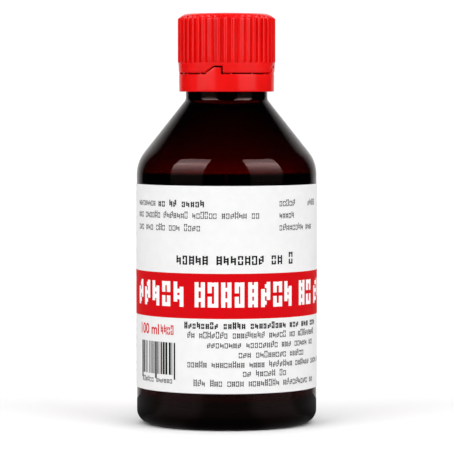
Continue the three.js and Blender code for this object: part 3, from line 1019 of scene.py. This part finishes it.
# A card that glows faintly, most where the light panels stand, lies round the bottle and shows only
# in gloss: brightness falls with the angle between a place's bearing and the panels' bearing, and
# close to the bottle, where a surface lies in its shade.
def makeCard(s=studio):
    material, tree, shader = nodeMaterial("cardGlow")
    place = tree.nodes.new("ShaderNodeTexCoord")
    split = tree.nodes.new("ShaderNodeSeparateXYZ")
    tree.links.new(place.outputs["Object"], split.inputs["Vector"])
    across = combine(tree, "ABSOLUTE", split.outputs["X"])
    ahead = combine(tree, "MULTIPLY", split.outputs["Y"], -1)
    middle, inner, outer = s["cardBright"]
    bearing = combine(tree, "ARCTAN2", across, ahead)
    off = combine(tree, "ABSOLUTE", combine(tree, "SUBTRACT", bearing, middle))
    squares = [combine(tree, "MULTIPLY", part, part) for part in (across, ahead)]
    distance = combine(tree, "SQRT", combine(tree, "ADD", *squares))
    darkest, shadeEnd, shadeShare = s["cardShade"]
    shade = mapValue(tree, distance, darkest, shadeEnd, shadeShare, 1)
    bright = mapValue(tree, off, inner, outer, *s["cardGlow"])
    glow = tree.nodes.new("ShaderNodeEmission")
    tree.links.new(combine(tree, "MULTIPLY", bright, shade), glow.inputs["Strength"])
    tree.links.new(glow.outputs[0], tree.nodes["Material Output"].inputs["Surface"])
    card = flatSheet("card", *s["cardReach"], s["cardLevel"], material)
    card.visible_camera = card.visible_diffuse = card.visible_shadow = False
    card.visible_transmission = card.visible_volume_scatter = False


def addOverhead(s=studio):
    light = bpy.data.lights.new("overhead", "SUN")
    light.energy = s["overhead"]
    light.angle = s["overheadSpread"]
    holder = bpy.data.objects.new("overhead", light)
    scene.collection.objects.link(holder)
    holder.location = (0, 0, 1)
    holder.rotation_euler = (s["overheadLean"], 0, 0)
    holder.visible_glossy = False
    holder.visible_transmission = False


# Two upright light boxes, low down, that light only the red mouldings, and only their gloss.
def addGleam(s=studio):
    mouldings = bpy.data.collections.new("redMouldings")
    for piece in (capShell, ringPiece):
        mouldings.objects.link(piece)
    width, height = s["gleamSize"]
    for side in (-1, 1):
        light = bpy.data.lights.new("gleam", "AREA")
        light.shape = "RECTANGLE"
        light.size, light.size_y = width, height
        light.energy = s["gleam"] * math.pi * width * height  # power = brightness * pi * area
        holder = bpy.data.objects.new("gleam", light)
        scene.collection.objects.link(holder)
        bearing, away = side * s["gleamBearing"], s["gleamDistance"]
        middle = s["gleamFoot"] + height / 2
        holder.location = (away * math.sin(bearing), -away * math.cos(bearing), middle)
        holder.rotation_euler = (math.pi / 2, 0, bearing)
        holder.light_linking.receiver_collection = mouldings
        holder.visible_camera = holder.visible_diffuse = False
        holder.visible_transmission = holder.visible_volume_scatter = False


# The surroundings, as brightness by direction. Two tall light panels stand left and right of the
# camera: a direction meets a panel at side = across / along and height = z / along, where along is
# its part square to the panel. Behind the bottle it is white, on the camera's side dark.
def makeWorld(s=studio):
    world = bpy.data.worlds.new("studio")
    scene.world = world
    world.use_nodes = True
    tree = world.node_tree
    tree.nodes.clear()
    place = tree.nodes.new("ShaderNodeTexCoord")
    split = tree.nodes.new("ShaderNodeSeparateXYZ")
    tree.links.new(place.outputs["Generated"], split.inputs["Vector"])
    x = combine(tree, "ABSOLUTE", split.outputs["X"])
    y, z = split.outputs["Y"], split.outputs["Z"]
    sine, cosine = math.sin(s["panelFacing"]), math.cos(s["panelFacing"])
    along = combine(tree, "SUBTRACT", combine(tree, "MULTIPLY", x, sine),
                    combine(tree, "MULTIPLY", y, cosine))
    across = combine(tree, "ADD", combine(tree, "MULTIPLY", x, cosine),
                     combine(tree, "MULTIPLY", y, sine))
    reach = combine(tree, "MAXIMUM", along, 0.01)
    side, height = combine(tree, "DIVIDE", across, reach), combine(tree, "DIVIDE", z, reach)
    left, right = s["panelSides"]
    foot, bright, faded, top = s["panelHeights"]
    skirtLow, skirtHigh = (foot - drop for drop in s["panelSkirt"])
    low, most, high = s["panelGlow"]
    edge = s["edge"]
    climb = combine(tree, "POWER", mapValue(tree, height, foot, bright, 0, 1), s["panelFall"])
    glow = combine(tree, "ADD", mapValue(tree, climb, 0, 1, low, most),
                   mapValue(tree, height, bright, faded, 0, high - most))
    leaning = combine(tree, "ADD", side, combine(tree, "MULTIPLY", height, s["panelLean"]))
    masks = [
        mapValue(tree, leaning, left - edge, left, 0, 1),
        mapValue(tree, side, right, right + edge, 1, 0),
        mapValue(tree, height, top, top + edge, 1, 0),
        mapValue(tree, height, skirtLow, skirtHigh, 0, 1),
        mapValue(tree, along, 0.0, 0.05, 0, 1),
    ]
    for mask in masks:
        glow = combine(tree, "MULTIPLY", glow, mask)
    overTheBack = combine(tree, "ADD", y, combine(tree, "MULTIPLY", z, s["backLean"]))
    behind = mapValue(tree, overTheBack, *s["backFrom"], s["front"], s["backdrop"])
    around = tree.nodes.new("ShaderNodeBackground")
    tree.links.new(combine(tree, "ADD", glow, behind), around.inputs["Strength"])
    plain = tree.nodes.new("ShaderNodeBackground")
    plain.inputs["Color"].default_value = (1, 1, 1, 1)
    plain.inputs["Strength"].default_value = s["backdrop"]
    path = tree.nodes.new("ShaderNodeLightPath")
    pick = tree.nodes.new("ShaderNodeMixShader")
    tree.links.new(path.outputs["Is Camera Ray"], pick.inputs[0])
    tree.links.new(around.outputs[0], pick.inputs[1])
    tree.links.new(plain.outputs[0], pick.inputs[2])
    output = tree.nodes.new("ShaderNodeOutputWorld")
    tree.links.new(pick.outputs[0], output.inputs["Surface"])


camera = {
    "position": (0.0001, -0.780, 0.08696),
    "downTilt": math.radians(2.63),
    "lens": 236.6,
    "sensor": 36,
    "clipEnd": 200,
}


def addCamera(c=camera):
    view = bpy.data.cameras.new("camera")
    view.sensor_width = c["sensor"]
    view.lens = c["lens"]
    view.clip_end = c["clipEnd"]
    holder = bpy.data.objects.new("camera", view)
    scene.collection.objects.link(holder)
    holder.location = c["position"]
    holder.rotation_euler = (math.pi / 2 - c["downTilt"], 0, 0)
    scene.camera = holder


makeFloor()
makeCard()
addOverhead()
addGleam()
makeWorld()
addCamera()
scene.view_settings.view_transform = "Standard"
scene.view_settings.look = "None"
print("studio set")
